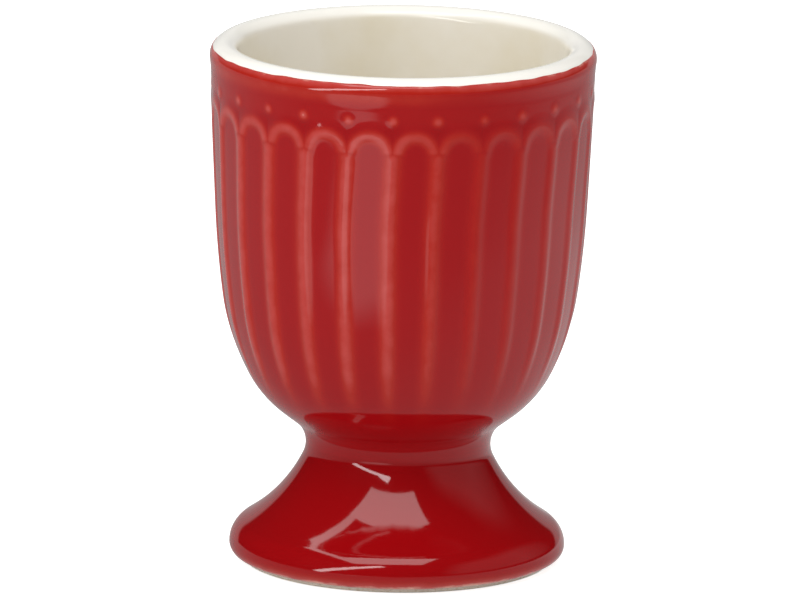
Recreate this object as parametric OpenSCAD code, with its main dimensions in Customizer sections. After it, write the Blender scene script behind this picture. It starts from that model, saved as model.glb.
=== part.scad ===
// Footed egg cup in glazed stoneware: an arcaded, beaded bowl luted to a hollow foot.
// The origin is the centre of the ring that the cup stands on, +Z is the axis of the cup.

/* [Overall] */
// Height from the table to the crown of the rim
cup_h = 67; // [60:0.5:76]
// Widest diameter of the rim
rim_d = 49; // [45:0.5:54]
// Diameter of the waist between the bowl and the foot
waist_d = 23.5; // [20:0.5:27]
// Widest diameter of the foot
foot_d = 42.6; // [39:0.2:48]

/* [Rim] */
// Radius of the roll round the outside of the rim
rim_roll_r = 1.9; // [1.4:0.1:2.4]
// Radius of the rounding from the crown into the well
rim_inner_r = 1.7; // [1.2:0.1:2.2]
// Slope of the roll, in degrees, where it runs into the frieze
roll_end_slope = 8; // [6:0.5:10]
// Height on the roll, in degrees above level, at which the red coat ends
coat_line_angle = 40; // [25:1:55]

/* [Bowl side] */
// Radius of the hollow under the roll
frieze_hollow_r = 21; // [14:0.5:28]
// Slope of the straight side below the frieze, in degrees
side_slope = 3; // [2:0.25:4]
// Radius of the long curve below the straight side
belly_r = 130; // [90:5:180]
// Slope at which the long curve passes into the hip, in degrees
belly_slope = 8; // [6:0.5:10]
// Slope at which the hip passes into the underside, in degrees
hip_slope = 25.5; // [22:0.5:29]
// Slope of the underside where it meets the waist, in degrees
under_slope = 52.5; // [48:0.5:57]
// Length of the straight run of the underside above the waist
under_run = 2.4; // [1:0.1:4]

/* [Well] */
// Wall of the bowl below the rim, coats included
bowl_wall = 3.6; // [3:0.1:4.4]
// Clay left between the floor of the well and the luted joint
floor_t = 6.3; // [4.5:0.1:8]
// Radius of the turn from the wall of the well to its floor
well_turn_r = 11; // [8:0.5:14]
// Slope at which that turn passes into the dished floor, in degrees
well_floor_slope = 72; // [66:1:78]

/* [Foot] */
// Radius of the hollow round the waist
waist_hollow_r = 3.8; // [2.6:0.1:5]
// Slope at which the waist passes into the flare, in degrees
flare_top_slope = 26; // [20:1:32]
// Slope at which the flare passes into the shoulder, in degrees
flare_end_slope = 58; // [52:1:62]
// Radius of the rounded shoulder of the foot
shoulder_r = 3.5; // [2.6:0.1:4.4]
// Radius of the edge under the shoulder
edge_r = 1.5; // [1.1:0.1:1.9]
// Wall of the hollow foot, coats included
foot_wall = 3.2; // [2.6:0.1:4]
// Height by which the bare ring lifts the coats off the table
ring_lift = 0.6; // [0.4:0.1:1]
// Width of the bare ring that the cup stands on
ring_w = 1.6; // [1.2:0.1:2.4]
// Distance from the widest point of the foot in to the ring
ring_inset = 1.7; // [1.4:0.1:2]

/* [Arcade] */
// Number of flutes round the bowl
flute_n = 26; // [22:1:30]
// Distance from the crown down to the springing of the flutes' round heads
spring_drop = 9.6; // [8.8:0.1:11]
// Width of the rib between two flutes at the springing, in the clay
rib_w = 1.2; // [0.9:0.05:1.6]
// Height of the ribs and arches over the floor of the flutes, in the clay
arcade_rise = 0.4; // [0.3:0.05:0.5]
// How far two neighbouring arches run into each other over a rib
arch_lap = 0.06; // [0.04:0.01:0.2]

/* [Beads] */
// Distance from the crown down to the beads on the frieze
bead_drop = 5.4; // [4.8:0.1:5.8]
// Radius of a bead, in the clay
bead_r = 0.65; // [0.5:0.05:0.8]
// Height of a bead over the frieze, in the clay
bead_rise = 0.45; // [0.25:0.05:0.5]

/* [Coats and joint] */
// Thickness of the red coat on plain surfaces
coat_t = 0.3; // [0.2:0.05:0.4]
// Thickness of the red coat over ribs, arches and beads, where it runs thin
crest_coat_t = 0.2; // [0.15:0.05:0.25]
// Thickness of the cream coat in the well and over the rim
lining_t = 0.3; // [0.2:0.05:0.4]
// Thickness of the cream coat in the hollow of the foot
base_coat_t = 0.25; // [0.15:0.05:0.35]
// Thickness of the slip between the bowl and the foot
slip_t = 0.4; // [0.3:0.05:0.6]
// Radius of the rings scored into both faces of the joint
score_r = 0.3; // [0.2:0.05:0.35]

/* [Hidden] */
$fn = 96;
// Turn, in degrees, between two points on the round stretches of a profile
arc_step = 6;
// Turn, in degrees, between two points round the head of a flute
head_step = 20;
// Sides of the beads and the scored rings
moulding_sides = 32;

// How far a cut runs past what it cuts
overrun = 4;
// Radius at which the scored rings lie, as shares of the joint's radius
score_shares = [0.35, 0.6, 0.82];
// Slopes of the hollow under the foot: at the top of its wall and at the rim of its dome
hollow_top_slope = 33;
dome_slope = 85;
// Radii of the hollow's edge at the ring and of its turn into the dome
hollow_edge_r = 0.8;
hollow_turn_r = 3;
// Slope on the edge of the foot at which the red coat ends
edge_slope = 80;
// Height up the hollow at which its cream coat begins
base_coat_start = 1.4;
// Bevel that takes the sharpness off the bare ring
ring_bevel = 0.25;

// A surface point is reached from the one before by turning from one direction of its outward normal
// to the next round a radius, positive where the surface swells out and negative where it is hollow.
function normal(a) = [cos(a), sin(a)];
function turned(p, r, a, b) = p + r * (normal(b) - normal(a));
function downhill(a) = [sin(a), -cos(a)];

// A profile is a list of steps. An arc is [radius, end angle, 0], a straight run is [0, angle, length].
function step_end(p, a, s) = s[0] == 0 ? p + s[2] * downhill(a) : turned(p, s[0], a, s[1]);
function points(p, a, steps, i = 0) =
    i == len(steps) ? [p] : concat([p], points(step_end(p, a, steps[i]), steps[i][1], steps, i + 1));
function angle_before(a, steps, i) = i == 0 ? a : steps[i - 1][1];

// Radii and points from which the outer profile is closed
rim_r = rim_d / 2;
waist_r = waist_d / 2;
foot_r = foot_d / 2;
crown = [rim_r - rim_roll_r, cup_h];
side_start = turned(turned(crown, rim_roll_r, 90, -roll_end_slope),
                    -frieze_hollow_r, -roll_end_slope, -side_slope);

flare_r = (foot_r - waist_r - waist_hollow_r * (1 - cos(flare_top_slope))
           - shoulder_r * (1 - cos(flare_end_slope))) / (cos(flare_top_slope) - cos(flare_end_slope));
waist_z = ring_lift + edge_r * sin(edge_slope) + shoulder_r * sin(flare_end_slope)
          + flare_r * (sin(flare_end_slope) - sin(flare_top_slope)) + waist_hollow_r * sin(flare_top_slope);

// The hip and the underside share one scale, so that they and the straight side end at the waist
under_share = 0.46;
turn_in = cos(belly_slope) - cos(hip_slope) + under_share * (cos(hip_slope) - cos(under_slope));
turn_down = sin(hip_slope) - sin(belly_slope) + under_share * (sin(under_slope) - sin(hip_slope));
room_in = side_start[0] - waist_r - belly_r * (cos(side_slope) - cos(belly_slope))
          - under_run * sin(under_slope) - waist_hollow_r * (1 - cos(under_slope));
room_down = side_start[1] - waist_z - belly_r * (sin(belly_slope) - sin(side_slope))
            - under_run * cos(under_slope) - waist_hollow_r * sin(under_slope);
room_det = turn_in * cos(side_slope) - turn_down * sin(side_slope);
hip_r = (room_in * cos(side_slope) - room_down * sin(side_slope)) / room_det;
under_r = under_share * hip_r;
side_run = (room_down * turn_in - room_in * turn_down) / room_det;

outer_steps = [
    [rim_roll_r, -roll_end_slope, 0],
    [-frieze_hollow_r, -side_slope, 0],
    [0, -side_slope, side_run],
    [belly_r, -belly_slope, 0],
    [hip_r, -hip_slope, 0],
    [under_r, -under_slope, 0],
    [0, -under_slope, under_run],
    [-waist_hollow_r, flare_top_slope, 0],
    [-flare_r, flare_end_slope, 0],
    [shoulder_r, 0, 0],
    [edge_r, -edge_slope, 0],
];

// The well runs beside the outer profile at the wall's thickness and ends in a dished floor
joint_z = waist_z;
well_floor_z = joint_z + floor_t;
well_hip_r = hip_r - bowl_wall;
well_belly_r = belly_r - bowl_wall;
well_belly_in = well_belly_r * (cos(side_slope) - cos(belly_slope));
well_belly_down = well_belly_r * (sin(belly_slope) - sin(side_slope));
well_hip_in = well_hip_r * (cos(belly_slope) - cos(hip_slope));
well_hip_down = well_hip_r * (sin(hip_slope) - sin(belly_slope));
well_turn_in = well_turn_r * (cos(hip_slope) - cos(well_floor_slope));
well_turn_down = well_turn_r * (sin(well_floor_slope) - sin(hip_slope));
well_lip = turned(crown, rim_inner_r, 90, 180 - side_slope);
dish = (1 - sin(well_floor_slope)) / cos(well_floor_slope);
well_run = (well_lip[1] - well_floor_z - well_belly_down - well_hip_down - well_turn_down
            - (well_lip[0] - well_belly_in - well_hip_in - well_turn_in) * dish)
           / (cos(side_slope) - dish * sin(side_slope));
well_dish_r = (well_lip[0] - well_run * sin(side_slope) - well_belly_in - well_hip_in - well_turn_in)
              / cos(well_floor_slope);

well_steps = [
    [rim_inner_r, 180 - side_slope, 0],
    [0, 180 - side_slope, -well_run],
    [-well_belly_r, 180 - belly_slope, 0],
    [-well_hip_r, 180 - hip_slope, 0],
    [-well_turn_r, 180 - well_floor_slope, 0],
    [-well_dish_r, 90, 0],
];

// The hollow under the foot follows the flare and ends in a shallow dome
ring_outer_r = foot_r - ring_inset;
ring_inner = [ring_outer_r - ring_w, 0];
hollow_wall_r = flare_r + foot_wall;
hollow_wall_start = turned(ring_inner, hollow_edge_r, -90, flare_end_slope - 180);
hollow_wall_end = turned(hollow_wall_start, hollow_wall_r, flare_end_slope - 180, hollow_top_slope - 180);
dome_start = turned(hollow_wall_end, -hollow_turn_r, hollow_top_slope - 180, dome_slope - 180);
dome_r = dome_start[0] / cos(dome_slope);

hollow_steps = [
    [hollow_edge_r, flare_end_slope - 180, 0],
    [hollow_wall_r, hollow_top_slope - 180, 0],
    [-hollow_turn_r, dome_slope - 180, 0],
    [-dome_r, -90, 0],
];

// The arcade stands on the straight side, the belly and the hip, whose corners these are
side_corners = points(side_start, -side_slope, [for (i = [2 : 4]) outer_steps[i]]);
hip_end = side_corners[3];
function side_at(z) = [side_start[0] - (side_start[1] - z) * tan(side_slope), z];
spring = side_at(cup_h - spring_drop);
pitch_angle = 360 / flute_n;
half_pitch = spring[0] * sin(pitch_angle / 2);
head_r = half_pitch - rib_w / 2;
arch_r = half_pitch + arch_lap;
// Two neighbouring spandrels are kept apart by this share of the half pitch, each side of an arch's crown
crown_share = 0.15;
crown_cut = spring[1] + sqrt(pow(arch_r, 2) - pow(crown_share * half_pitch, 2));
// Place of the bends in a flute's sides, as a share of each stretch of the side, clear of its corners
bend_share = 0.45;
// Depth under the end of the hip, as a share of the rise, to which the ribs sink as they fade out
fade_share = 0.3;
// How deep the arcade is rooted in what carries it
root = 1.2;

// Points along a profile, each set in by skin along its normal
function traced(start, a, steps, skin) =
    let (p = points(start, a, steps), last = len(steps))
    concat([for (i = [0 : last - 1])
                let (r = steps[i][0], a0 = angle_before(a, steps, i), a1 = steps[i][1],
                     n = r == 0 ? 1 : ceil(abs(a1 - a0) / arc_step))
                for (j = [0 : n - 1])
                    let (t = a0 + (a1 - a0) * j / n)
                    p[i] + r * (normal(t) - normal(a0)) - skin * normal(t)],
           [p[last] - skin * normal(steps[last - 1][1])]);

// Half section of the cup as a full form, set in by skin, down to the table
module outline(skin) {
    ring = [[ring_outer_r, ring_lift], [ring_outer_r, ring_bevel], [ring_outer_r - ring_bevel, 0]];
    polygon(concat([[0, cup_h - skin]], traced(crown, 90, outer_steps, skin), ring, [[0, 0]]));
}

// Half section of the well, made larger by skin, open at the top
module well(skin) {
    top = cup_h + overrun;
    polygon(concat([[0, top], [crown[0], top]], traced(crown, 90, well_steps, skin)));
}

// Half section of the hollow under the foot, made larger by skin, open below
module hollow(skin) {
    polygon(concat([[0, -overrun], [ring_inner[0], -overrun]],
                   traced(ring_inner, -90, hollow_steps, skin)));
}

// The part of the hollow that its coat covers, from a little above the ring
module coated_hollow() {
    intersection() {
        hollow(base_coat_t);
        translate([0, base_coat_start]) square([foot_r, joint_z]);
    }
}

// The part of the half section whose skin is cream: from the coat line over the crown and down the well
module cream_side() {
    top = cup_h + overrun;
    c = crown - [0, rim_roll_r];
    inner = points(crown, 90, well_steps);
    last = len(inner) - 1;
    middle = [for (i = [last : -1 : 2]) inner[i] - bowl_wall / 2 * normal(well_steps[i - 1][1])];
    polygon(concat([c, c + (rim_roll_r + overrun) * normal(coat_line_angle), [c[0], top], [0, top]],
                   middle));
}

// Opening of a flute, drawn in by grow: its head round the springing, its sides narrowing with the bowl
module flute_outline(grow) {
    floor_share = (head_r - grow) / spring[0];
    side = [for (i = [1 : 3])
                let (p = bend_share * side_corners[i - 1] + (1 - bend_share) * side_corners[i])
                [p[0] * floor_share, p[1]]];
    low = concat(side, [2 * side[2] - side[1]]);
    polygon(concat([for (a = [0 : head_step : 180]) [0, spring[1]] + (head_r - grow) * normal(a)],
                   [for (p = low) [-p[0], p[1]]],
                   [for (i = [3 : -1 : 0]) low[i]]));
}

// The plain spandrel between two neighbouring arches, which are thicker by grow, and the frieze over it
module spandrel_outline(grow) {
    r = arch_r + grow;
    start = acos(half_pitch / r);
    end = acos(crown_share * half_pitch / r);
    n = ceil((end - start) / head_step);
    edge = [for (i = [0 : n]) r * normal(start + (end - start) * i / n) - [half_pitch, -spring[1]]];
    high = [edge[n][0], crown_cut + overrun];
    polygon(concat(edge, [high, [-high[0], high[1]]], [for (i = [n : -1 : 1]) [-edge[i][0], edge[i][1]]]));
}

// Stands an outline against the side at each pitch, from a first place on, and drives it in
module around(first) {
    for (i = [0 : flute_n - 1])
        rotate([90, 0, (i + first) * pitch_angle + 90])
            translate([0, 0, hip_end[0] - root]) linear_extrude(rim_r) children();
}

// Section of the arcade before the flutes are cut: it follows the side and sinks into the end of the hip
function arcade_section(grow) =
    let (n = ceil((hip_slope - belly_slope) / arc_step),
         rise = arcade_rise + grow - coat_t,
         crest = concat([side_at(crown_cut + grow) + rise * normal(-side_slope),
                         side_corners[1] + rise * normal(-side_slope)],
                        [for (i = [0 : n])
                             let (a = -belly_slope - (hip_slope - belly_slope) * i / n,
                                  sunk = (1 + fade_share) * pow(i / n, 3) * (arcade_rise + grow))
                             turned(side_corners[2], hip_r, -belly_slope, a) + (rise - sunk) * normal(a)]))
    concat(crest, [for (i = [len(crest) - 1 : -1 : 0]) crest[i] - [root, 0]]);

// The raised arcade of ribs and round heads, thicker by grow
module arcade(grow) {
    difference() {
        rotate_extrude() polygon(arcade_section(grow));
        around(0) flute_outline(grow);
        around(0.5) spandrel_outline(grow);
    }
}

// The beads on the frieze, one over each rib, thicker by grow
module beads(grow) {
    seat = side_at(cup_h - bead_drop) + (bead_rise - bead_r - coat_t) * normal(-side_slope);
    for (i = [0 : flute_n - 1])
        rotate((i + 0.5) * pitch_angle) translate([seat[0], 0, seat[1]])
            sphere(r = bead_r + grow, $fn = moulding_sides);
}

// The rings scored in both faces of the joint, filled with slip
module key_rings() {
    for (share = score_shares)
        rotate_extrude() translate([share * (waist_r - coat_t), joint_z])
            circle(r = score_r + slip_t / 2, $fn = moulding_sides);
}

// The bowl: a jiggered section, scored below for the joint, with the arcade and the beads on its side
module bowl_body() {
    color("#d9cdb8") union() {
        difference() {
            rotate_extrude() difference() {
                intersection() {
                    outline(coat_t);
                    translate([0, joint_z + slip_t / 2]) square([rim_d, cup_h]);
                }
                well(lining_t);
            }
            key_rings();
        }
        arcade(0);
        beads(0);
    }
}

// The foot: hollow below, with a bare ring to stand on
module foot_body() {
    color("#d3c6ae") difference() {
        rotate_extrude() difference() {
            intersection() {
                outline(coat_t);
                square([foot_d, joint_z - slip_t / 2]);
            }
            hollow(0);
            coated_hollow();
        }
        key_rings();
    }
}

// The slip that bonds the scored faces of bowl and foot
module luting_slip() {
    color("#b9a98c") union() {
        rotate_extrude() intersection() {
            outline(coat_t);
            translate([0, joint_z - slip_t / 2]) square([waist_d, slip_t]);
        }
        key_rings();
    }
}

// The red coat over the outside, from the coat line on the rim down to the bare ring
module outer_glaze() {
    color("#a8141c") difference() {
        union() {
            rotate_extrude() difference() {
                outline(0);
                cream_side();
            }
            arcade(crest_coat_t);
            beads(crest_coat_t);
        }
        rotate_extrude() outline(coat_t);
        arcade(0);
        beads(0);
    }
}

// The cream coat over the rim and in the well
module lining_glaze() {
    color("#ece6d6") rotate_extrude() difference() {
        intersection() {
            outline(0);
            cream_side();
        }
        well(0);
        difference() {
            outline(coat_t);
            well(lining_t);
        }
    }
}

// The cream coat in the hollow of the foot
module base_glaze() {
    color("#e4ddcb") rotate_extrude() difference() {
        coated_hollow();
        hollow(0);
    }
}

bowl_body();
foot_body();
luting_slip();
outer_glaze();
lining_glaze();
base_glaze();
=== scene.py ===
"""Footed egg cup in glazed stoneware: the dressed model, its stage, its lamps and its camera.

The cup's sizes are in millimetres and its angles in degrees until a mesh is built, which is in
metres. The stage, the lamps and the camera are given in metres and degrees.
The cup stands on the origin with its axis along +Z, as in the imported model.
"""
import logging
import math
import random
from bisect import bisect_left
from dataclasses import dataclass, field
from enum import Enum

import bmesh
import bpy
from mathutils import Matrix, Vector


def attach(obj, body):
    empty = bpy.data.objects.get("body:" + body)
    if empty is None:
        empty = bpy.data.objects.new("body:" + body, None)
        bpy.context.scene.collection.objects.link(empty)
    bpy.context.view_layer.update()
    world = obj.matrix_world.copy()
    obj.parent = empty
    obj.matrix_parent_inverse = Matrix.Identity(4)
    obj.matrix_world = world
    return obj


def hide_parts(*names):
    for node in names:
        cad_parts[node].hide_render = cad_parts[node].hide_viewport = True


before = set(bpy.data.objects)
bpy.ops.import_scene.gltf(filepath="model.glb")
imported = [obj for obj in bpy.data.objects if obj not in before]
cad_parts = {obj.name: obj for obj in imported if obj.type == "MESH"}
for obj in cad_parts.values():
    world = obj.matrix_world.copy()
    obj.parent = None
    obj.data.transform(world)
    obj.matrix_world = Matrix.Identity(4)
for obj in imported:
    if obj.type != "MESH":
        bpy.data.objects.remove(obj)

MM = 0.001
SAME_POINT = 1e-7  # Metres within which two points are merged
SAME_LEVEL = 1e-8  # Metres within which two points are at one height
LEAST_RISE = 1e-9  # Millimetres, so that a level stretch divides by more than nothing
STRAIGHT_UP, STRAIGHT_DOWN = 90, -90  # Directions of a normal in a half section
Span = tuple[float, float]  # Where something starts, and where it ends
log = logging.getLogger("egg_cup")


def linear(hex_colour: str) -> tuple[float, float, float, float]:
    """Turns an sRGB hex colour to the linear values that a shader takes.

    Args:
        hex_colour: Six hex digits with a leading #.

    Returns:
        Linear red, green and blue, with an alpha of 1.
    """
    parts = [int(hex_colour[i:i + 2], 16) / 255 for i in (1, 3, 5)]
    shades = [c / 12.92 if c <= 0.04045 else ((c + 0.055) / 1.055) ** 2.4 for c in parts]
    return (*shades, 1.0)


def ease(low: float, high: float, value: float) -> float:
    """Rises smoothly from 0 at low to 1 at high.

    Args:
        low: Where the rise starts.
        high: Where it ends.
        value: Where it is read.

    Returns:
        The share, from 0 to 1.
    """
    t = min(1.0, max(0.0, (value - low) / (high - low)))
    return t * t * (3 - 2 * t)


def bump_shape(distance: float, reach: float) -> float:
    """Gives the height of a soft moulding.

    Args:
        distance: Distance from its crest.
        reach: Distance at which it has run out.

    Returns:
        1 on the crest, falling to 0 at the reach and beyond.
    """
    return 0.5 + 0.5 * math.cos(math.pi * min(1.0, abs(distance) / reach))


def level_ways(front: float) -> tuple[Vector, Vector]:
    """Gives the level directions of the view.

    Args:
        front: Azimuth of the camera.

    Returns:
        The direction from the cup to the camera, and that to the right of the view.
    """
    a = math.radians(front)
    return Vector((math.cos(a), math.sin(a), 0)), Vector((-math.sin(a), math.cos(a), 0))


@dataclass(frozen=True)
class Point:
    """A point of a half section, with the direction of the outward normal there."""

    r: float
    z: float
    normal: float

    def inset(self, depth: float) -> "Point":
        """Moves the point in along its normal.

        Args:
            depth: How far it moves.

        Returns:
            The moved point, with the same normal.
        """
        a = math.radians(self.normal)
        return Point(self.r - depth * math.cos(a), self.z - depth * math.sin(a), self.normal)


@dataclass(frozen=True)
class Step:
    """One stretch of a section: an arc when it has a radius, otherwise a straight run."""

    spacing: float
    radius: float = 0.0
    end: float = 0.0
    length: float = 0.0


def trace(start: Point, steps: tuple[Step, ...]) -> list[Point]:
    """Walks along a section and puts a point at each spacing.

    Args:
        start: The first point.
        steps: Arcs that turn the normal to their end angle, and straight runs.

    Returns:
        The points, the first one included.
    """
    points = [start]
    for step in steps:
        p = points[-1]
        if not step.radius:
            a = math.radians(p.normal)
            n = max(1, round(abs(step.length) / step.spacing))
            points += [Point(p.r + step.length * i / n * math.sin(a),
                             p.z - step.length * i / n * math.cos(a), p.normal)
                       for i in range(1, n + 1)]
            continue
        turn = step.end - p.normal
        n = max(1, math.ceil(abs(step.radius * math.radians(turn)) / step.spacing))
        a0 = math.radians(p.normal)
        for i in range(1, n + 1):
            a = math.radians(p.normal + turn * i / n)
            points.append(Point(p.r + step.radius * (math.cos(a) - math.cos(a0)),
                                p.z + step.radius * (math.sin(a) - math.sin(a0)),
                                math.degrees(a)))
    return points


@dataclass
class CupForm:
    """The thrown form that every coat and clay body follows."""

    crown: Point = Point(22.6, 67.0, STRAIGHT_UP)
    roll_r: float = 1.9
    ring_lift: float = 0.6
    ring_outer_r: float = 19.6
    ring_inner_r: float = 18.0
    joint_z: float = 15.06
    base_coat_z: float = 1.4
    head_spacing: float = 0.155
    side_spacing: float = 1.15
    outside_steps: tuple[Step, ...] = field(init=False)
    well_steps: tuple[Step, ...] = field(init=False)
    hollow_steps: tuple[Step, ...] = field(init=False)

    def __post_init__(self) -> None:
        """Sets the arcs and runs of the three sections."""
        self.outside_steps = (
            Step(0.2, radius=self.roll_r, end=-8),  # Roll of the rim
            Step(0.35, radius=-21, end=-3),  # Tuck under the roll
            Step(self.head_spacing, length=6.7),  # Frieze and the flutes' heads
            Step(self.side_spacing, length=10.78),  # Straight side
            Step(self.side_spacing, radius=130, end=-8),  # Slow turn into the belly
            Step(1.0, radius=32.15, end=-25.5),  # Belly
            Step(0.9, radius=14.79, end=-52.5),  # Under the belly
            Step(0.8, length=2.4),  # Short run down to the waist
            Step(0.42, radius=-3.8, end=26),  # Waist
            Step(0.85, radius=-20.39, end=58),  # Flare of the foot
            Step(0.3, radius=3.5, end=0),  # Edge of the foot
            Step(0.22, radius=1.5, end=-80),  # Under the edge, in to the bare ring
        )
        self.well_steps = (
            Step(0.16, radius=1.7, end=177),  # Inner roll of the rim
            Step(1.5, length=-17.46),  # Wall
            Step(1.5, radius=-126.4, end=172),  # Slow turn of the lower wall
            Step(1.0, radius=-28.55, end=154.5),  # Inside of the belly
            Step(0.6, radius=-11, end=108),  # Turn into the floor
            Step(1.0, radius=-32.03, end=STRAIGHT_UP),  # Floor
        )
        self.hollow_steps = (
            Step(0.15, radius=0.8, end=-122),  # Inner edge of the ring
            Step(0.8, radius=23.59, end=-147),  # Wall of the hollow
            Step(0.4, radius=-3, end=-95),  # Turn into the dome
            Step(1.0, radius=-92.2, end=STRAIGHT_DOWN),  # Dome of the hollow
        )

    def outside(self) -> list[Point]:
        """Section of the outside, from the crown of the rim down to the bare ring."""
        return trace(self.crown, self.outside_steps)

    def well(self) -> list[Point]:
        """Section of the well, from the crown of the rim to the middle of its floor."""
        return trace(self.crown, self.well_steps)

    def hollow(self) -> list[Point]:
        """Section of the hollow under the foot, from the ring to the middle of its dome."""
        return trace(Point(self.ring_inner_r, 0, STRAIGHT_DOWN), self.hollow_steps)


class Outside:
    """Looks up the outside section by height."""

    def __init__(self, form: CupForm) -> None:
        """Keeps the section sorted by height.

        Args:
            form: The cup's form.
        """
        self.points = sorted(form.outside(), key=lambda p: p.z)
        self.heights = [p.z for p in self.points]

    def at(self, z: float) -> Point:
        """Gives the point of the outside at a height.

        Args:
            z: Height over the table.

        Returns:
            The point, between the two nearest points of the section.
        """
        i = min(len(self.points) - 1, max(1, bisect_left(self.heights, z)))
        a, b = self.points[i - 1], self.points[i]
        t = min(1.0, max(0.0, (z - a.z) / max(LEAST_RISE, b.z - a.z)))
        return Point(a.r + t * (b.r - a.r), z, a.normal + t * (b.normal - a.normal))


def spun(name: str, section: list[tuple[float, float]], columns: int) -> bmesh.types.BMesh:
    """Spins a closed half section into a shell.

    Args:
        name: What the shell is, for the log.
        section: Points (r, z) in millimetres. The shell closes between the last and the first.
        columns: Divisions round the axis.

    Returns:
        The shell, with its poles merged and its faces pointing out.
    """
    mesh = bmesh.new()
    ring = [mesh.verts.new((r * MM, 0, z * MM)) for r, z in section]
    pairs = list(zip(ring, ring[1:]))
    if section[0][0] > 0 or section[-1][0] > 0:
        pairs.append((ring[-1], ring[0]))
    edges = [mesh.edges.new(pair) for pair in pairs]
    bmesh.ops.spin(mesh, geom=ring + edges, cent=(0, 0, 0), axis=(0, 0, 1), dvec=(0, 0, 0),
                   angle=math.tau, steps=columns, use_merge=True, use_duplicate=False)
    bmesh.ops.remove_doubles(mesh, verts=mesh.verts, dist=SAME_POINT)
    bmesh.ops.recalc_face_normals(mesh, faces=mesh.faces)
    log.info("%s: %d faces", name, len(mesh.faces))
    return mesh


def as_object(name: str, mesh: bmesh.types.BMesh) -> bpy.types.Object:
    """Turns a bmesh into a smooth-shaded object at the origin and frees the bmesh.

    Args:
        name: The object's name.
        mesh: The finished bmesh.

    Returns:
        The object, linked to the scene.
    """
    data = bpy.data.meshes.new(name)
    mesh.to_mesh(data)
    mesh.free()
    data.polygons.foreach_set("use_smooth", [True] * len(data.polygons))
    piece = bpy.data.objects.new(name, data)
    bpy.context.scene.collection.objects.link(piece)
    return piece


@dataclass(frozen=True)
class Relief:
    """What the arcade does at one place: its height, and how thin or deep the glaze lies."""

    height: float
    thin: float
    pool: float


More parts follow.
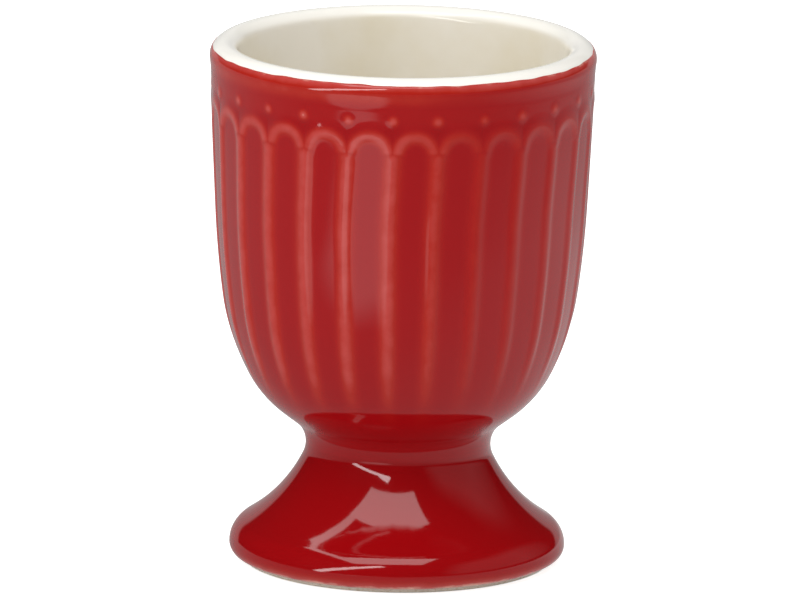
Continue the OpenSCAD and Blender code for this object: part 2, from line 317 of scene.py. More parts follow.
@dataclass
class Arcade:
    """The fluting of the bowl: ribs, the round heads that join them, and the beads above."""

    flutes: int = 26
    half_width: float = 2.92  # Half a flute where the reaches below hold; they shrink with it
    spring_z: float = 57.4
    heads_start: Span = (-0.9, 0.5)  # Over the springing line
    ribs_end: Span = (-0.6, 1.3)  # Over the springing line
    head_r: float = 2.46
    head_reach: float = 1.2
    head_run_out: float = 1.9
    rib_reach: float = 1.35
    rise: float = 0.19
    head_share: float = 0.72
    scoop: float = 0.07
    fades: Span = (22.0, 34.0)  # Heights over which the flutes die out on the belly
    thin_fades: Span = (19.5, 29.0)
    lean: float = 1.18
    leans: Span = (46.0, 58.0)
    rib_thin_reach: float = 2.2
    head_thin_reach: float = 1.25
    head_thin_drop: float = 0.14
    full_thin: float = 0.8
    frieze_thin: float = 0.1
    frieze_starts: Span = (60.0, 62.0)
    pool_starts: Span = (56.5, 58.0)
    pool_ends: Span = (60.2, 61.6)
    bead_z: float = 61.7
    bead_reach: float = 1.25
    bead_rise: float = 0.08
    bead_thin: float = 0.92
    bead_least: float = 0.6
    bead_across: float = 0.2
    bead_up: float = 0.1
    bead_sizes: Span = (0.9, 1.08)
    bead_seed: int = 11
    # The pale lines show less round this azimuth
    muted_azimuth: float = -26.0
    muted_share: float = 0.52
    muted_ends: Span = (35, 62)  # Degrees either side of that azimuth
    beads: list[tuple[float, float, float]] = field(init=False)

    def __post_init__(self) -> None:
        """Sets how each hand-set bead differs: its shift across, its shift up and its size."""
        rng = random.Random(self.bead_seed)
        self.beads = [(rng.uniform(-self.bead_across, self.bead_across),
                       rng.uniform(-self.bead_up, self.bead_up), rng.uniform(*self.bead_sizes))
                      for _ in range(self.flutes)]

    @property
    def pitch(self) -> float:
        """Angle from one rib to the next."""
        return 360 / self.flutes

    def leaning(self, z: float) -> float:
        """Angle by which the hand-cut heads and beads lean at a height."""
        return self.lean * ease(*self.leans, z)

    def unmuted_share(self, azimuth: float) -> float:
        """Share of the pale lines that shows at an azimuth: they are fainter round one side of the
        cup.
        """
        away = abs((azimuth - self.muted_azimuth + 180) % 360 - 180)
        return 1 - self.muted_share * (1 - ease(*self.muted_ends, away))

    def relief(self, azimuth: float, z: float, r: float) -> Relief:
        """Gives the moulding at a place on the side.

        Args:
            azimuth: Angle round the axis from +X, where the middle of a flute lies, less the lean.
            z: Height over the table.
            r: Radius of the plain side there.

        Returns:
            The height over the plain side and how thin and how deep the glaze lies.
        """
        index = math.floor(azimuth / self.pitch)
        from_rib = (azimuth / self.pitch - index - 0.5) * math.radians(self.pitch) * r
        half = math.radians(self.pitch / 2) * r
        size = half / self.half_width
        over_spring = z - self.spring_z
        reach = math.hypot(half - abs(from_rib), max(0.0, over_spring))
        low = 1 - ease(*self.ribs_end, over_spring)
        over = ease(*self.heads_start, over_spring)
        past = reach - self.head_r * size
        head = bump_shape(past, self.head_run_out if past > 0 else self.head_reach) * over
        rib = bump_shape(from_rib, self.rib_reach * size) * low
        crest = 1 - (1 - self.head_share * head) * (1 - rib)
        hollow = self.scoop * max(0.0, 1 - (reach / (self.head_r * size)) ** 2)
        shift, lift, bead_size = self.beads[index % self.flutes]
        bead = bump_shape(math.hypot(from_rib - shift, z - self.bead_z - lift),
                          self.bead_reach * bead_size)
        height = ease(*self.fades, z) * (self.rise * crest - hollow)
        height += self.bead_rise * bead_size * bead

        off_head = abs(past + self.head_thin_drop) / self.head_thin_reach
        head_thin = math.cos(math.pi / 2 * min(1.0, off_head)) * over
        rib_thin = bump_shape(from_rib, self.rib_thin_reach * size) * low
        mouldings = max(head_thin, rib_thin) * ease(*self.thin_fades, z)
        shown = self.unmuted_share(azimuth)
        bead_shown = self.bead_least + (1 - self.bead_least) * shown
        thin = max(self.full_thin * mouldings * shown, self.bead_thin * bead * bead_shown,
                   self.frieze_thin * ease(*self.frieze_starts, z))
        pool = 0.0
        if past > 0:
            pool = (1 - head) * (1 - rib) * ease(*self.pool_starts, z)
            pool *= 1 - ease(*self.pool_ends, z)
        return Relief(height, thin, pool)


@dataclass
class RedCoat:
    """The red glaze over the outside, with the arcade that it softens."""

    form: CupForm
    arcade: Arcade
    thickness: float = 0.3
    shrink: float = 0.012
    columns_per_flute: int = 12
    inner_every: int = 4
    inner_full_z: float = 20.0
    crowding: float = 0.42
    band: Span = (17.5, 62.9)
    band_margin: float = 0.4
    # Heights over the bare ring across which the coat pales to the foot's edge: partly thin glaze,
    # partly painted light for the light thrown up from the white floor
    edge_thin_and_uplight: Span = (0.1, 2.3)
    line_angle: float = 41.0
    # Least paleness near the coat's upper edge: partly thin glaze, partly painted light on the
    # roll's upward-facing side
    line_thin_and_top_light: float = 0.45
    line_full: float = 0.88
    line_thins: Span = (4.0, 36.0)
    line_starts: Span = (-12.0, 8.0)
    line_moves: float = 12.0
    line_lift: float = 0.3
    roll_z: float = 64.75
    roll_reach: float = 1.9
    roll_thin: float = 0.55
    wave: float = 2.0
    # How often each wave goes round, its size and its start
    waves: tuple[tuple[int, float, float], ...] = (
        (3, 1.0, 0.7), (7, 0.6, 2.1), (17, 0.45, 0.0), (29, 0.4, 1.3), (43, 0.35, 0.4))

    def build(self) -> bpy.types.Object:
        """Spins the coat, refines the band that carries the arcade and raises the mouldings.

        Returns:
            The coat as an object.
        """
        outer = [p.inset(self.shrink) for p in self.form.outside()
                 if p.normal <= self.line_angle or p.z < self.form.joint_z]
        inner = [p.inset(self.thickness) for p in outer][::-1]
        kept = [p for i, p in enumerate(inner)
                if i % self.inner_every == 0 or i == len(inner) - 1 or p.z < self.inner_full_z]
        section = [(p.r, p.z) for p in outer + kept]
        mesh = spun("red coat", section, self.arcade.flutes * self.columns_per_flute)
        side = Outside(self.form)
        self.refine(mesh, side)
        self.raise_arcade(mesh, side)
        self.wave_line(mesh)
        return as_object("red_coat", mesh)

    def on_outside(self, vert: bmesh.types.BMVert, side: Outside) -> bool:
        """Says whether a vertex lies on the outside of the coat.

        Args:
            vert: The vertex.
            side: The plain outside.

        Returns:
            True outside, and False on the face against the clay.
        """
        z = vert.co.z / MM
        return math.hypot(vert.co.x, vert.co.y) / MM > side.at(z).r - self.thickness / 3

    def refine(self, mesh: bmesh.types.BMesh, side: Outside) -> None:
        """Doubles the columns of the outside where the arcade lies.

        Args:
            mesh: The spun coat, which is changed.
            side: The plain outside.
        """
        low, high = self.band
        rings = []
        for edge in mesh.edges:
            a, b = edge.verts
            level = abs(a.co.z - b.co.z) < SAME_LEVEL
            if level and low < a.co.z / MM < high and self.on_outside(a, side):
                rings.append(edge)
        bmesh.ops.subdivide_edges(mesh, edges=rings, cuts=1, use_grid_fill=True)

    def raise_arcade(self, mesh: bmesh.types.BMesh, side: Outside) -> None:
        """Crowds the columns towards the ribs, leans them and raises the mouldings.

        Args:
            mesh: The refined coat, which is changed and gets the layers thin and pool.
            side: The plain outside.
        """
        thin = mesh.verts.layers.float.new("thin")
        pool = mesh.verts.layers.float.new("pool")
        low, high = self.band
        turn = math.radians(self.arcade.pitch)
        for vert in mesh.verts:
            z = vert.co.z / MM
            if not self.on_outside(vert, side) or z > high + self.band_margin:
                continue
            place = side.at(z)
            angle = math.atan2(vert.co.y, vert.co.x)
            part = angle / turn - 0.5
            angle -= self.crowding * turn / math.tau * math.sin(math.tau * part)
            relief = self.arcade.relief(math.degrees(angle), z, place.r)
            # Paler to the foot's lower edge: thin glaze, and painted light standing for light from
            # below
            low_edge_thin_and_uplight = 1 - ease(*self.edge_thin_and_uplight, z - self.form.ring_lift)
            vert[thin] = max(relief.thin, low_edge_thin_and_uplight)
            vert[pool] = relief.pool if z > self.form.joint_z else 1 - low_edge_thin_and_uplight
            raised = place.inset(-relief.height if z > low else 0.0)
            angle += math.radians(self.arcade.leaning(z))
            vert.co = Vector((raised.r * math.cos(angle), raised.r * math.sin(angle),
                              raised.z)) * MM

    def wave_line(self, mesh: bmesh.types.BMesh) -> None:
        """Lets the upper edge of the coat wander, and thins the coat there and on the roll; where
        the roll faces up part of that paleness is painted light.

        Args:
            mesh: The coat with its arcade, which is changed.
        """
        thin = mesh.verts.layers.float["thin"]
        centre_r, centre_z = self.form.crown.r, self.form.crown.z - self.form.roll_r
        for vert in mesh.verts:
            r, z = math.hypot(vert.co.x, vert.co.y) / MM, vert.co.z / MM
            if z < self.band[1]:
                continue
            around = math.atan2(vert.co.y, vert.co.x)
            roll_thin = self.roll_thin * bump_shape(z - self.roll_z, self.roll_reach)
            vert[thin] = max(vert[thin], roll_thin * self.arcade.unmuted_share(math.degrees(around)))
            if z < centre_z + self.line_lift:
                continue
            roll = math.degrees(math.atan2(z - centre_z, r - centre_r))
            # Painted light mixed with thin glaze: paler where the roll faces up towards the cream
            # edge
            line = self.line_thin_and_top_light + (self.line_full - self.line_thin_and_top_light) * ease(*self.line_thins, roll)
            vert[thin] = max(vert[thin], line * ease(*self.line_starts, roll))
            wander = self.wave * sum(size * math.sin(count * around + start)
                                     for count, size, start in self.waves)
            new = math.radians(roll + wander * ease(self.line_moves, self.line_angle, roll))
            reach = math.hypot(r - centre_r, z - centre_z)
            flat = centre_r + reach * math.cos(new)
            vert.co = Vector((flat * math.cos(around), flat * math.sin(around),
                              centre_z + reach * math.sin(new))) * MM


@dataclass
class PaleCoats:
    """The cream glaze over the rim and in the well, and that in the hollow of the foot."""

    form: CupForm
    thickness: float = 0.3
    columns: int = 288
    inner_every: int = 2
    start_angle: float = 22.0
    under_red: float = 0.05
    surfaces: Span = (50, 88)  # Angles over which it comes up to the surface on the roll

    def lining(self) -> bpy.types.Object:
        """Builds the coat of the rim and the well, which runs a little under the red one.

        Returns:
            The coat as an object.
        """
        roll = [p for p in self.form.outside()
                if p.normal >= self.start_angle and p.z > self.form.joint_z]
        over = [p.inset(self.under_red * (1 - ease(*self.surfaces, p.normal))) for p in roll[::-1]]
        face = over + self.form.well()[1:]
        back = [p.inset(self.thickness) for i, p in enumerate(face)
                if i % self.inner_every == 0 or p.r == 0][::-1]
        back[0] = Point(0, back[0].z, STRAIGHT_UP)
        face[-1] = Point(0, face[-1].z, STRAIGHT_UP)
        mesh = spun("lining", [(p.r, p.z) for p in face + back], self.columns)
        return as_object("well_coat", mesh)

    def base(self) -> bpy.types.Object:
        """Builds the coat in the hollow of the foot, from above the bare ring.

        Returns:
            The coat as an object.
        """
        face = [p for p in self.form.hollow() if p.z >= self.form.base_coat_z]
        back = [p.inset(self.thickness) for p in face][::-1]
        back[0] = Point(0, back[0].z, STRAIGHT_DOWN)
        face[-1] = Point(0, face[-1].z, STRAIGHT_DOWN)
        mesh = spun("base coat", [(p.r, p.z) for p in face + back], self.columns)
        return as_object("hollow_coat", mesh)


@dataclass
class Clay:
    """The two fired bodies under the coats."""

    form: CupForm
    coat: float = 0.32
    columns: int = 208
    bowl_every: int = 2
    half_joint: float = 0.2
    ring_edge: float = 0.3
    ring_round: float = 0.3  # Share of the edge that its middle point is moved by
    under_red: float = 0.1

    def bowl(self) -> bpy.types.Object:
        """Builds the bowl down to the luted joint.

        Returns:
            The bowl as an object.
        """
        joint = self.form.joint_z + self.half_joint
        out = [p.inset(self.coat) for p in self.form.outside()[::self.bowl_every]]
        out = [p for p in out if p.z > joint]
        well = [p.inset(self.coat) for p in self.form.well()[::self.bowl_every]]
        well[-1] = Point(0, well[-1].z, STRAIGHT_UP)
        section = [(0, joint), (out[-1].r, joint)] + [(p.r, p.z) for p in out[::-1] + well]
        return as_object("bowl_clay", spun("bowl", section, self.columns))

    def foot(self) -> bpy.types.Object:
        """Builds the hollow foot with the bare ring that the cup stands on.

        Returns:
            The foot as an object.
        """
        joint = self.form.joint_z - self.half_joint
        out = [p.inset(self.coat) for p in self.form.outside()]
        out = [p for p in out if p.z < joint]
        edge, ring = self.ring_edge, self.form.ring_outer_r
        soft = self.ring_round * edge
        rounded = [(ring, self.form.ring_lift + self.under_red), (ring, edge),
                   (ring - soft, soft), (ring - edge, 0)]
        hollow = [p.inset(0 if p.z < self.form.base_coat_z else self.coat)
                  for p in self.form.hollow()]
        hollow[-1] = Point(0, hollow[-1].z, STRAIGHT_DOWN)
        section = [(0, joint), (out[0].r, joint)] + [(p.r, p.z) for p in out] + rounded
        section += [(p.r, p.z) for p in hollow]
        return as_object("foot_clay", spun("foot", section, self.columns))


class Nodes:
    """Adds shader nodes to one material or world."""

    def __init__(self, owner: bpy.types.Material | bpy.types.World) -> None:
        """Empties the node tree of its owner.

        Args:
            owner: The material or world.
        """
        owner.use_nodes = True
        self.owner, self.tree = owner, owner.node_tree
        self.tree.nodes.clear()

    def add(self, kind: str, settings: dict[str, object] | None = None,
            **inputs: object) -> bpy.types.Node:
        """Adds a node.

        Args:
            kind: The node's type.
            settings: Its attributes.
            **inputs: Values or sockets for its inputs, by name with _ for a space, or by
                number as i0, i1 and so on.

        Returns:
            The node.
        """
        node = self.tree.nodes.new(kind)
        for key, value in (settings or {}).items():
            setattr(node, key, value)
        for key, value in inputs.items():
            name = key.replace("_", " ")
            socket = node.inputs[int(name[1:])] if name[1:].isdigit() else node.inputs[name]
            if isinstance(value, bpy.types.NodeSocket):
                self.tree.links.new(value, socket)
            else:
                socket.default_value = value
        return node

    def finish(self, shader: bpy.types.Node) -> bpy.types.Material | bpy.types.World:
        """Joins a shader to a new output.

        Args:
            shader: The node whose first output is the surface.

        Returns:
            The finished material or world.
        """
        world = isinstance(self.owner, bpy.types.World)
        self.add("ShaderNodeOutputWorld" if world else "ShaderNodeOutputMaterial",
                 Surface=shader.outputs[0])
        return self.owner


@dataclass(frozen=True)
class RedGlaze:
    """Fired red gloss glaze: deep where it is thick, and paler where it runs thin over an edge."""

    name: str = "red_gloss_stoneware_glaze"
    # From the full coat to one so thin that the clay shows through; the palest shade, at the foot's
    # lower edge, is partly painted light from below
    shades: tuple[tuple[float, str], ...] = (
        (0.0, "#9f0d12"), (0.26, "#a61715"), (0.48, "#af251b"), (0.8, "#c04641"), (1.0, "#ecbcaa"))
    pooled: str = "#99080d"
    roughness: float = 0.07
    ior: float = 1.5
    mottle_mm: float = 2.2
    mottle_detail: float = 3.0
    mottle: Span = (0.3, 0.7)
    mottle_least: float = 0.8
    ripple_mm: float = 7.0
    ripple_detail: float = 2.0
    ripple_strength: float = 0.25
    ripple_depth_mm: float = 0.06

    def build(self) -> bpy.types.Material:
        """Builds the material.

        Returns:
            The material.
        """
        # To the eye: deep glassy red, sharp reflections that waver with the uneven coat,
        # and soft paler lines where the glaze has run off the ribs, arches, beads and roll.
        # On the roll's upward-facing side and at the foot's lower edge that paleness is partly
        # painted light.
        n = Nodes(bpy.data.materials.new(self.name))
        place = n.add("ShaderNodeTexCoord").outputs["Object"]
        thin = n.add("ShaderNodeAttribute", {"attribute_name": "thin"}).outputs["Fac"]
        pool = n.add("ShaderNodeAttribute", {"attribute_name": "pool"}).outputs["Fac"]
        mottle = n.add("ShaderNodeTexNoise", Vector=place, Scale=1 / (self.mottle_mm * MM),
                       Detail=self.mottle_detail)
        amount = n.add("ShaderNodeMapRange", i0=mottle.outputs["Fac"], i1=self.mottle[0],
                       i2=self.mottle[1], i3=self.mottle_least, i4=1.0)
        share = n.add("ShaderNodeMath", {"operation": "MULTIPLY"}, i0=thin, i1=amount.outputs[0])
        ramp = n.add("ShaderNodeValToRGB", i0=share.outputs[0])
        stops = ramp.color_ramp.elements
        for position, _ in self.shades[1:-1]:
            stops.new(position)
        for stop, (_, shade) in zip(stops, self.shades):
            stop.color = linear(shade)
        colour = n.add("ShaderNodeMix", {"data_type": "RGBA"}, i0=pool, i6=ramp.outputs["Color"],
                       i7=linear(self.pooled))
        ripple = n.add("ShaderNodeTexNoise", Vector=place, Scale=1 / (self.ripple_mm * MM),
                       Detail=self.ripple_detail)
        bump = n.add("ShaderNodeBump", Strength=self.ripple_strength,
                     Distance=self.ripple_depth_mm * MM, Height=ripple.outputs["Fac"])
        return n.finish(n.add("ShaderNodeBsdfPrincipled", Base_Color=colour.outputs[2],
                              Roughness=self.roughness, IOR=self.ior, Normal=bump.outputs[0]))


@dataclass(frozen=True)
class CreamGlaze:
    """Fired cream gloss glaze, a little warmer where it gathers."""

    name: str = "cream_gloss_stoneware_glaze"
    # Painted light: the rim's upward-facing top is coloured whiter than the well
    rim: str = "#fffcf4"
    body: str = "#f2ede2"
    warm: str = "#eae2ce"
    lit_rim_mm: Span = (65.75, 66.3)
    roughness: float = 0.12
    ior: float = 1.5
    cloud_mm: float = 9.0
    cloud_detail: float = 3.0
    cloud: Span = (0.35, 0.75)
    cloud_strength: float = 0.2
    cloud_depth_mm: float = 0.05

    def build(self) -> bpy.types.Material:
        """Builds the material.

        Returns:
            The material.
        """
        # To the eye: an even, soft white gloss, slightly clouded with warm cream down in the well.
        # The nearly pure white on the rim's upward-facing top is painted light, for the light it
        # catches from above.
        n = Nodes(bpy.data.materials.new(self.name))
        place = n.add("ShaderNodeTexCoord").outputs["Object"]
        cloud = n.add("ShaderNodeTexNoise", Vector=place, Scale=1 / (self.cloud_mm * MM),
                      Detail=self.cloud_detail)
        share = n.add("ShaderNodeMapRange", i0=cloud.outputs["Fac"], i1=self.cloud[0],
                      i2=self.cloud[1])
        well = n.add("ShaderNodeMix", {"data_type": "RGBA"}, i0=share.outputs[0],
                     i6=linear(self.body), i7=linear(self.warm))
        height = n.add("ShaderNodeSeparateXYZ", i0=place).outputs["Z"]
        # Painted light: whiter towards the top of the rim, where it faces the lamps above
        rim = n.add("ShaderNodeMapRange", i0=height, i1=self.lit_rim_mm[0] * MM,
                    i2=self.lit_rim_mm[1] * MM)
        colour = n.add("ShaderNodeMix", {"data_type": "RGBA"}, i0=rim.outputs[0],
                       i6=well.outputs[2], i7=linear(self.rim))
        bump = n.add("ShaderNodeBump", Strength=self.cloud_strength,
                     Distance=self.cloud_depth_mm * MM, Height=cloud.outputs["Fac"])
        return n.finish(n.add("ShaderNodeBsdfPrincipled", Base_Color=colour.outputs[2],
                              Roughness=self.roughness, IOR=self.ior, Normal=bump.outputs[0]))


@dataclass(frozen=True)
class BareStoneware:
    """Unglazed fired stoneware: buff, matt and finely speckled."""

    name: str = "bare_fired_stoneware"
    body: str = "#f3ebdd"
    speck: str = "#dccdb4"
    roughness: float = 0.85
    # The real grit is finer than the render can show, so it is drawn this coarse
    grain_mm: float = 0.5
    grain_detail: float = 4.0
    specks: Span = (0.5, 0.75)
    grain_strength: float = 0.4
    grain_depth_mm: float = 0.05

    def build(self) -> bpy.types.Material:
        """Builds the material.

        Returns:
            The material.
        """
        # To the eye: a dry, chalky buff with no reflection, and small darker specks of grit.
        n = Nodes(bpy.data.materials.new(self.name))
        place = n.add("ShaderNodeTexCoord").outputs["Object"]
        grain = n.add("ShaderNodeTexNoise", Vector=place, Scale=1 / (self.grain_mm * MM),
                      Detail=self.grain_detail)
        share = n.add("ShaderNodeMapRange", i0=grain.outputs["Fac"], i1=self.specks[0],
                      i2=self.specks[1])
        colour = n.add("ShaderNodeMix", {"data_type": "RGBA"}, i0=share.outputs[0],
                       i6=linear(self.body), i7=linear(self.speck))
        bump = n.add("ShaderNodeBump", Strength=self.grain_strength,
                     Distance=self.grain_depth_mm * MM, Height=grain.outputs["Fac"])
        return n.finish(n.add("ShaderNodeBsdfPrincipled", Base_Color=colour.outputs[2],
                              Roughness=self.roughness, Normal=bump.outputs[0]))


class Facing(Enum):
    """Where a lamp's face points."""

    CUP = "cup"
    DOWN = "down"


class Seen(Enum):
    """Which rays meet a lamp."""

    ALL = "all"
    GLOSS = "gloss"
    DIFFUSE = "diffuse"


@dataclass
class Lamp:
    """A soft rectangular lamp, placed as seen by the camera, in metres from the cup's foot."""

    name: str
    right: float
    toward: float
    up: float
    width: float
    height: float
    radiance: float
    facing: Facing = Facing.CUP
    turn: float = 0.0
    seen: Seen = Seen.ALL

    def hang(self, aim: Vector, front: float) -> None:
        """Hangs the lamp.

        Args:
            aim: The middle of the cup.
            front: Azimuth of the camera.
        """
        data = bpy.data.lights.new(self.name, "AREA")
        data.shape = "RECTANGLE"
        data.size, data.size_y = self.width, self.height
        data.energy = self.radiance * math.pi * self.width * self.height
        lamp = bpy.data.objects.new(self.name, data)
        toward, right = level_ways(front)
        place = right * self.right + toward * self.toward + Vector((0, 0, self.up))
        if self.facing is Facing.CUP:
            base = (place - aim).to_track_quat("Z", "Y").to_matrix().to_4x4()
        else:
            base = Matrix.Rotation(math.radians(front) + math.pi / 2, 4, "Z")
        turned = Matrix.Rotation(math.radians(self.turn), 4, "Z")
        lamp.matrix_world = Matrix.Translation(place) @ base @ turned
        bpy.context.scene.collection.objects.link(lamp)
        lamp.visible_camera = False
        lamp.visible_diffuse = self.seen is not Seen.GLOSS
        lamp.visible_glossy = self.seen is not Seen.DIFFUSE


@dataclass(frozen=True)
class WhiteBoard:
    """Matt white board: white to the camera, and greyer with a lit patch in the gloss."""

    name: str = "matt_white_board"
    board: str = "#f2f2f0"
    glow: str = "#ffffff"
    lift: float = 0.75
    falls: Span = (-0.1, 0.22)  # Distance towards the camera over which the board darkens
    levels: Span = (0.42, 0.2)
    patch_right: float = -0.075
    patch_toward: float = 0.15
    patch_turn: float = -25.0
    patch_long: float = 0.08
    patch_wide: float = 0.055
    patch_ends: Span = (0.75, 1.1)
    patch_level: float = 0.9
    beside_right: float = 0.12
    beside_toward: float = -0.03
    beside_ends: Span = (0.06, 0.15)
    beside_level: float = 0.3

    def build(self, front: float) -> bpy.types.Material:
        """Builds the material.

        Args:
            front: Azimuth of the camera, which the board's lit places are laid out from.

        Returns:
            The material.
        """
        # To the eye: a plain white ground that keeps the cup's shadow. The glaze mirrors it as
        # a dim board with one bright patch before the cup and a fainter one beside it.
        toward, right = level_ways(front)
        n = Nodes(bpy.data.materials.new(self.name))
        ray = n.add("ShaderNodeLightPath")
        lift = n.add("ShaderNodeMath", {"operation": "MULTIPLY"},
                     i0=ray.outputs["Is Camera Ray"], i1=self.lift)
        white = n.add("ShaderNodeBsdfDiffuse", Color=linear(self.board))
        glow = n.add("ShaderNodeEmission", Color=linear(self.glow), Strength=lift.outputs[0])
        both = n.add("ShaderNodeAddShader", i0=white.outputs[0], i1=glow.outputs[0])
        place = n.add("ShaderNodeTexCoord").outputs["Object"]
        ahead = n.add("ShaderNodeVectorMath", {"operation": "DOT_PRODUCT"}, i0=place, i1=toward)
        level = n.add("ShaderNodeMapRange", {"interpolation_type": "SMOOTHSTEP"},
                      i0=ahead.outputs["Value"], i1=self.falls[0], i2=self.falls[1],
                      i3=self.levels[0], i4=self.levels[1])
        patch = right * self.patch_right + toward * self.patch_toward
        from_patch = n.add("ShaderNodeVectorMath", {"operation": "SUBTRACT"}, i0=place, i1=patch)
        turned = Matrix.Rotation(math.radians(self.patch_turn), 3, "Z")
        along = n.add("ShaderNodeVectorMath", {"operation": "DOT_PRODUCT"},
                      i0=from_patch.outputs[0], i1=turned @ toward / self.patch_long)
        across = n.add("ShaderNodeVectorMath", {"operation": "DOT_PRODUCT"},
                       i0=from_patch.outputs[0], i1=turned @ right / self.patch_wide)
        both_ways = n.add("ShaderNodeCombineXYZ", i0=along.outputs["Value"],
                          i1=across.outputs["Value"])
        reach = n.add("ShaderNodeVectorMath", {"operation": "LENGTH"}, i0=both_ways.outputs[0])
        lit = n.add("ShaderNodeMapRange", {"interpolation_type": "SMOOTHSTEP"},
                    i0=reach.outputs["Value"], i1=self.patch_ends[0], i2=self.patch_ends[1],
                    i3=self.patch_level, i4=0.0)
        beside = right * self.beside_right + toward * self.beside_toward
        from_beside = n.add("ShaderNodeVectorMath", {"operation": "DISTANCE"}, i0=place, i1=beside)
        right_side = n.add("ShaderNodeMapRange", i0=from_beside.outputs["Value"],
                           i1=self.beside_ends[0], i2=self.beside_ends[1],
                           i3=self.beside_level, i4=0.0)
        with_patch = n.add("ShaderNodeMath", {"operation": "ADD"}, i0=level.outputs[0],
                           i1=lit.outputs[0])
        total = n.add("ShaderNodeMath", {"operation": "ADD"}, i0=right_side.outputs[0],
                      i1=with_patch.outputs[0])
        seen = n.add("ShaderNodeEmission", Color=linear(self.glow), Strength=total.outputs[0])
        return n.finish(n.add("ShaderNodeMixShader", i0=ray.outputs["Is Glossy Ray"],
                              i1=both.outputs[0], i2=seen.outputs[0]))


@dataclass(frozen=True)
class WhiteStudio:
    """The white surroundings: even light, and in the gloss a low backdrop and a right wall."""

    name: str = "white_studio"
    white: str = "#ffffff"
    surround: float = 0.65
    dim: float = 0.012
    backdrop_tilt: float = 0.45
    backdrop_edge: Span = (-0.79, -0.75)
    backdrop_level: float = 0.4
    backdrop_top: Span = (0.32, 0.36)
    wall_edge: Span = (0.5, 0.7)
    wall_level: float = 0.28
    wall_far: Span = (-0.7, -0.2)
    wall_low: Span = (0.05, 0.12)
    wall_top: Span = (0.6, 0.78)

    def build(self, front: float) -> bpy.types.World:
        """Builds the world. Its edges are parts of a unit direction.

        Args:
            front: Azimuth of the camera, which the backdrop and the wall are laid out from.

        Returns:
            The world.
        """
        toward, right = level_ways(front)
        n = Nodes(bpy.data.worlds.new(self.name))
        ray = n.add("ShaderNodeLightPath")
        way = n.add("ShaderNodeTexCoord").outputs["Generated"]
        high = n.add("ShaderNodeSeparateXYZ", i0=way).outputs["Z"]
        ahead = n.add("ShaderNodeVectorMath", {"operation": "DOT_PRODUCT"}, i0=way,
                      i1=toward).outputs["Value"]
        behind = n.add("ShaderNodeMath", {"operation": "MULTIPLY_ADD"}, i0=high,
                       i1=self.backdrop_tilt, i2=ahead).outputs[0]
        aside = n.add("ShaderNodeVectorMath", {"operation": "DOT_PRODUCT"}, i0=way,
                      i1=right).outputs["Value"]
        back = n.add("ShaderNodeMapRange", i0=behind, i1=self.backdrop_edge[0],
                     i2=self.backdrop_edge[1], i3=self.backdrop_level, i4=0.0)
        back_top = n.add("ShaderNodeMapRange", i0=high, i1=self.backdrop_top[0],
                         i2=self.backdrop_top[1], i3=1.0, i4=0.0)
        wall = n.add("ShaderNodeMapRange", i0=aside, i1=self.wall_edge[0], i2=self.wall_edge[1],
                     i3=0.0, i4=self.wall_level)
        wall_end = n.add("ShaderNodeMapRange", i0=ahead, i1=self.wall_far[0], i2=self.wall_far[1])
        wall_low = n.add("ShaderNodeMapRange", i0=high, i1=self.wall_low[0], i2=self.wall_low[1])
        wall_top = n.add("ShaderNodeMapRange", i0=high, i1=self.wall_top[0], i2=self.wall_top[1],
                         i3=1.0, i4=0.0)
        backdrop = n.add("ShaderNodeMath", {"operation": "MULTIPLY"}, i0=back.outputs[0],
                         i1=back_top.outputs[0])
        ends = n.add("ShaderNodeMath", {"operation": "MULTIPLY"}, i0=wall_low.outputs[0],
                     i1=wall_top.outputs[0])
        cut_wall = n.add("ShaderNodeMath", {"operation": "MULTIPLY"}, i0=wall.outputs[0],
                         i1=wall_end.outputs[0])
        side_wall = n.add("ShaderNodeMath", {"operation": "MULTIPLY_ADD"}, i0=cut_wall.outputs[0],
                          i1=ends.outputs[0], i2=self.dim)
        gloss = n.add("ShaderNodeMath", {"operation": "ADD"}, i0=backdrop.outputs[0],
                      i1=side_wall.outputs[0])
        plain = n.add("ShaderNodeMapRange", i0=ray.outputs["Is Camera Ray"], i1=0.0, i2=1.0,
                      i3=self.surround, i4=1.0)
        level = n.add("ShaderNodeMix", {"data_type": "FLOAT"}, i0=ray.outputs["Is Glossy Ray"],
                      i2=plain.outputs[0], i3=gloss.outputs[0])
        return n.finish(n.add("ShaderNodeBackground", Color=linear(self.white),
                              Strength=level.outputs[0]))


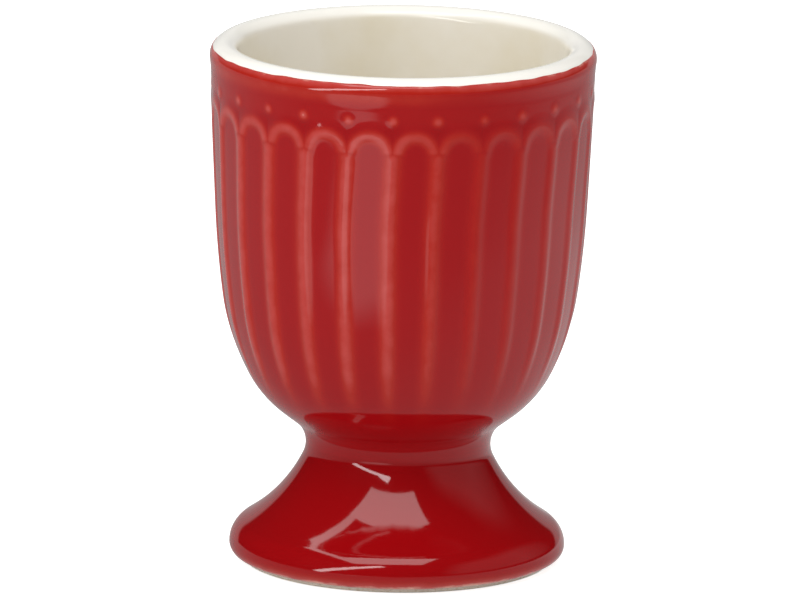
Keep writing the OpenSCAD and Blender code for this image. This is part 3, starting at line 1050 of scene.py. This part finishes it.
@dataclass
class Stage:
    """The pale floor, the white surroundings, the lamps and the camera."""

    front: float = -86.0
    floor_half: float = 6.0
    camera_elevation: float = 12.65
    camera_distance: float = 2.3
    lens: float = 816.6
    sensor: float = 36.0
    clip: Span = (0.05, 50.0)
    lean: float = 0.0136  # Radians by which the photograph is tilted
    aim: Vector = field(default_factory=lambda: Vector((0, 0, 0.0335)))

    def build(self) -> None:
        """Sets up everything round the cup."""
        self.floor()
        bpy.context.scene.world = WhiteStudio().build(self.front)
        for lamp in (
            Lamp("overhead_softbox", right=-0.075, toward=0.32, up=0.63, width=0.57, height=0.38,
                 radiance=3.2, facing=Facing.DOWN),
            Lamp("softbox_edge", right=-0.322, toward=-0.07, up=0.63, width=0.065, height=0.40,
                 radiance=3.0, facing=Facing.DOWN, seen=Seen.GLOSS),
            Lamp("strip_light", right=-0.261, toward=0.361, up=0.189, width=0.526, height=0.06,
                 radiance=8.0, turn=47.8, seen=Seen.GLOSS),
            Lamp("left_fill", right=-0.50, toward=0.35, up=0.30, width=0.40, height=0.40,
                 radiance=1.3, seen=Seen.DIFFUSE),
        ):
            lamp.hang(self.aim, self.front)
        self.camera()
        bpy.context.scene.view_settings.view_transform = "Standard"

    def floor(self) -> None:
        """Lays the pale floor."""
        mesh = bmesh.new()
        bmesh.ops.create_grid(mesh, x_segments=1, y_segments=1, size=self.floor_half)
        floor = as_object("floor", mesh)
        floor.data.materials.append(WhiteBoard().build(self.front))

    def camera(self) -> None:
        """Sets the camera where the photograph was taken from."""
        e = math.radians(self.camera_elevation)
        back = level_ways(self.front)[0] * math.cos(e) + Vector((0, 0, math.sin(e)))
        data = bpy.data.cameras.new("view")
        data.lens, data.sensor_width = self.lens, self.sensor
        data.clip_start, data.clip_end = self.clip
        camera = bpy.data.objects.new("view", data)
        camera.matrix_world = (Matrix.Translation(self.aim + back * self.camera_distance)
                               @ back.to_track_quat("Z", "Y").to_matrix().to_4x4()
                               @ Matrix.Rotation(self.lean, 4, "Z"))
        bpy.context.scene.collection.objects.link(camera)
        bpy.context.scene.camera = camera


def settle(piece: bpy.types.Object, material: bpy.types.Material, node: str) -> None:
    """Dresses a piece and joins it to the body that it stands for.

    Args:
        piece: The finished piece.
        material: Its finish.
        node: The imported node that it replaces.
    """
    piece.data.materials.append(material)
    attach(piece, "root")
    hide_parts(node)
    log.info("%s stands for %s", piece.name, node)


def main() -> None:
    """Builds the cup and its stage."""
    logging.basicConfig(level=logging.INFO, format="%(name)s: %(message)s")
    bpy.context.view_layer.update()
    form = CupForm()
    red, cream, bare = RedGlaze().build(), CreamGlaze().build(), BareStoneware().build()
    clay, pale = Clay(form), PaleCoats(form)
    settle(clay.bowl(), bare, "bowl_body")
    settle(clay.foot(), bare, "foot_body")
    settle(RedCoat(form, Arcade()).build(), red, "outer_glaze")
    settle(pale.lining(), cream, "lining_glaze")
    settle(pale.base(), cream, "base_glaze")
    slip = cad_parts["luting_slip"]
    slip.data.materials.clear()
    slip.data.materials.append(bare)
    log.info("%s keeps its own mesh", slip.name)
    Stage().build()


if __name__ == "__main__":
    main()
